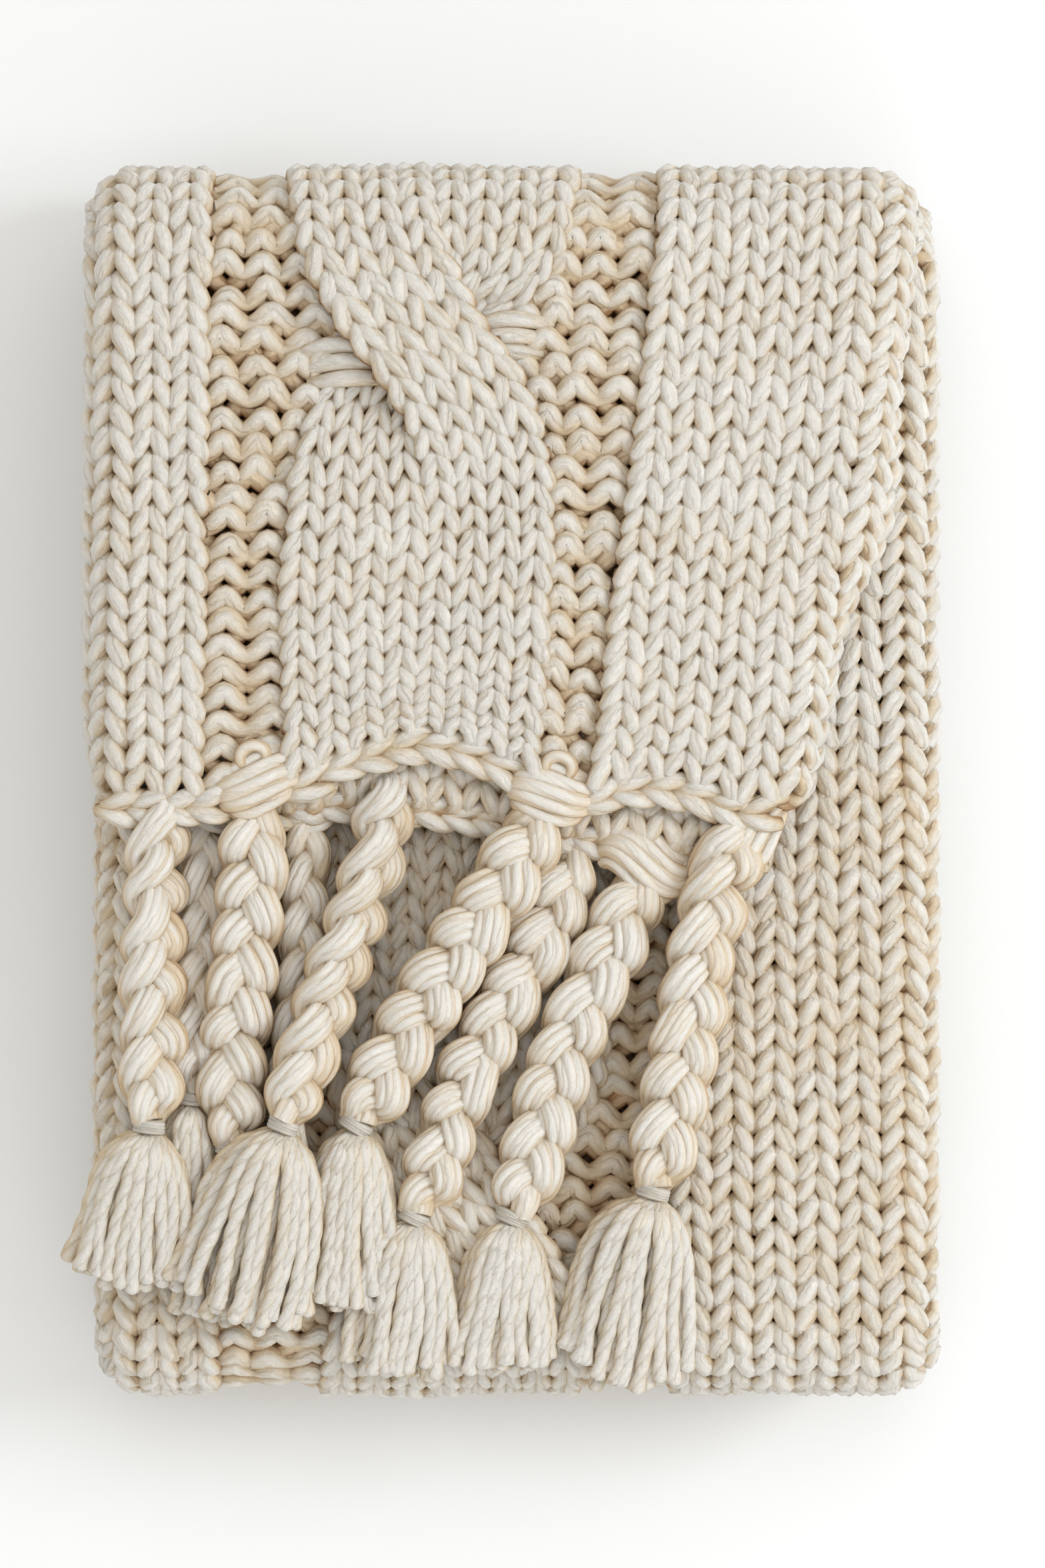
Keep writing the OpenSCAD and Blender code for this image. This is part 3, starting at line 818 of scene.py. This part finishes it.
def ground_cloth():
    """The whole throw as one thin cloth, folded in four lengthwise and run back and forth."""
    across_steps, long_steps = 4 * 12, 170
    verts = []
    for s in np.linspace(0, CLOTH_LENGTH, long_steps + 1):
        for x in np.linspace(0, CLOTH_WIDTH, across_steps + 1):
            across, ply = ply_point(x)
            y, z = run_point(s, (ply + 0.5) * RUN / PLIES - RUN / 2)
            verts.append((flap_narrow(across, y, z) * MM, y * MM, z * MM))
    n = across_steps + 1
    faces = [(a, a + 1, a + n + 1, a + n)
             for i in range(long_steps) for a in range(i * n, i * n + across_steps)]
    me = bpy.data.meshes.new("ground_cloth")
    me.from_pydata(verts, [], faces)
    me.materials.append(BACKING_SHADE)
    index = np.zeros(len(me.loops), np.int32)
    me.loops.foreach_get("vertex_index", index)
    flat_map = np.stack([(index % n) / across_steps, (index // n) / long_steps], -1).astype(np.float32)
    yarns_across = 60.0
    for layer_name, data in (("OFBake", flat_map), ("Yarn", flat_map * yarns_across)):
        me.uv_layers.new(name=layer_name).data.foreach_set("uv", data.reshape(-1))
    obj = bpy.data.objects.new("ground_cloth", me)
    bpy.context.scene.collection.objects.link(obj)
    return obj


# ---------------------------------------------------------------- build
def ride(obj, body, slot, *nodes):
    """Join a piece to its body, and hide the CAD nodes it replaces; slot is not used."""
    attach(obj, body)
    if nodes:
        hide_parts(*nodes)


for name, yarns in flap_pieces():
    piece = yarns.mesh(name, KNIT)
    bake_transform(piece)
for name, yarns in stack_pieces():
    piece = yarns.mesh(name, KNIT)
    ride(piece, "folded_stack", "knit_wool")
for name, yarns in zip(("flap_underside_stitches", "under_ply_stitches"), flap_underside()):
    piece = yarns.mesh(name, KNIT)
    ride(piece, "end_flap", "knit_wool")

edge = Yarns(10)
chain(edge, [(-160, -114), (-86, 1), (27, 101)], lambda x: END(x) - 4.0, TOP - 6.0)
chain(edge, [(-150, 96)], lambda x: UNDER_END(x) - 3.0, STACK_TOP + 12.0)
far_end = Yarns(8)
for ply in range(PLIES + 1):       # the ends of the plies, and a chain behind them that closes the slit above
    end_y = FRONT_Y - (17.0 if ply < PLIES else 9.0)
    chain(far_end, [(-152, 152)], lambda x: np.full_like(x, end_y), 6.5 + 7.0 * ply)
far_piece = far_end.mesh("cast_on_edge_chains", KNIT)
ride(far_piece, "folded_stack", "knit_wool")
edge_piece = edge.mesh("bound_off_edge_chain", EDGE)
ride(edge_piece, "end_flap", "edge_wool", "bound_off_edge")

ground = ground_cloth()
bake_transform(ground)
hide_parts("folded_panel", "flap_fold", "end_flap")

for number, spec in enumerate(BRAIDS, 1):
    body = f"braid_{number}"
    knot = Yarns(10, lobe_depth=0.05, ply_pitch=34.0, flank_shade=0.8)
    hitch(knot, spec)
    plait = Yarns(10, lobe_depth=0.05, ply_pitch=34.0, flank_shade=0.8)
    braid(plait, spec)
    tie = Yarns(8)
    binding(tie, spec)
    skirt = Yarns(10, lobes=2, lobe_depth=0.10, ply_pitch=10.0, flank_shade=0.8)
    tassel(skirt, spec, ends=12 if spec["spread"] < 30 else 27, looped=number == LOOPED)
    for yarns, label, material, rides_on, slot, node in (
            (knot, "hitch", BRAID, "end_flap", "braid_wool", "hitch_knot"),
            (plait, "plait", BRAID, body, "braid_wool", "braid"),
            (tie, "tie", BINDING, body, "binding_wool", "binding"),
            (skirt, "skirt", TASSEL, body, "tassel_wool", "tassel")):
        piece = yarns.mesh(f"{label}_{number}", material)
        ride(piece, rides_on, slot, f"{node}_{number}")


# ---------------------------------------------------------------- floor, light and camera
def stage_floor():
    """White paper, wide enough to reach past the picture from every view."""
    half = 12.0
    corners = [(-half, -half, 0), (half, -half, 0), (half, half, 0), (-half, half, 0)]
    me = bpy.data.meshes.new("floor")
    me.from_pydata(corners, [], [(0, 1, 2, 3)])
    obj = bpy.data.objects.new("floor", me)
    bpy.context.scene.collection.objects.link(obj)
    mat = bpy.data.materials.new("floor_paper")
    mat.use_nodes = True
    bsdf = mat.node_tree.nodes["Principled BSDF"]
    noise = mat.node_tree.nodes.new("ShaderNodeTexNoise")
    noise.inputs["Scale"].default_value = 3.0
    ramp = mat.node_tree.nodes.new("ShaderNodeValToRGB")
    ramp.color_ramp.elements[0].color = (0.845, 0.866, 0.890, 1)
    ramp.color_ramp.elements[1].color = (0.855, 0.876, 0.900, 1)
    mat.node_tree.links.new(noise.outputs["Fac"], ramp.inputs[0])
    mat.node_tree.links.new(ramp.outputs[0], bsdf.inputs["Base Color"])
    bsdf.inputs["Roughness"].default_value = 0.9
    bsdf.inputs["Specular IOR Level"].default_value = 0.1
    me.materials.append(mat)


DAYLIGHT = (0.96, 0.985, 1.0)
ROOM_COLOUR, ROOM_STRENGTH = (1.0, 0.965, 0.905, 1), 0.86


def area_light(name, at, size, watts, towards=(0, 0, 0.08)):
    """A square of daylight turned towards a point."""
    data = bpy.data.lights.new(name, "AREA")
    data.shape, data.size, data.energy, data.color = "SQUARE", size, watts, DAYLIGHT
    obj = bpy.data.objects.new(name, data)
    bpy.context.scene.collection.objects.link(obj)
    obj.location = at
    direction = Vector(np.array(towards) - np.array(at))
    obj.rotation_euler = direction.to_track_quat("-Z", "Y").to_euler()


stage_floor()
area_light("key", (2.0, 0.3, 1.5), 0.9, 29)
area_light("top", (0.2, 1.0, 2.4), 1.6, 6)
area_light("front", (0.3, -1.8, 0.8), 1.2, 5, towards=(0, -0.35, 0))
world = bpy.data.worlds.new("room")
world.use_nodes = True
background = world.node_tree.nodes["Background"]
background.inputs["Color"].default_value = ROOM_COLOUR
background.inputs["Strength"].default_value = ROOM_STRENGTH
bpy.context.scene.world = world
bpy.context.scene.view_settings.view_transform = "Standard"

camera_data = bpy.data.cameras.new("camera")
camera = bpy.data.objects.new("camera", camera_data)
bpy.context.scene.collection.objects.link(camera)
CAMERA_Z, SEEN_AT, SEEN_HEIGHT = 2.6, 0.112, 0.6118
camera.location = (0.0021, 0.0001, CAMERA_Z)
camera.rotation_euler = (0, 0, 0)
camera_data.sensor_fit = "VERTICAL"
camera_data.sensor_height = 36.0
camera_data.lens = 36.0 * (CAMERA_Z - SEEN_AT) / SEEN_HEIGHT
camera_data.clip_end = 20
bpy.context.scene.camera = camera
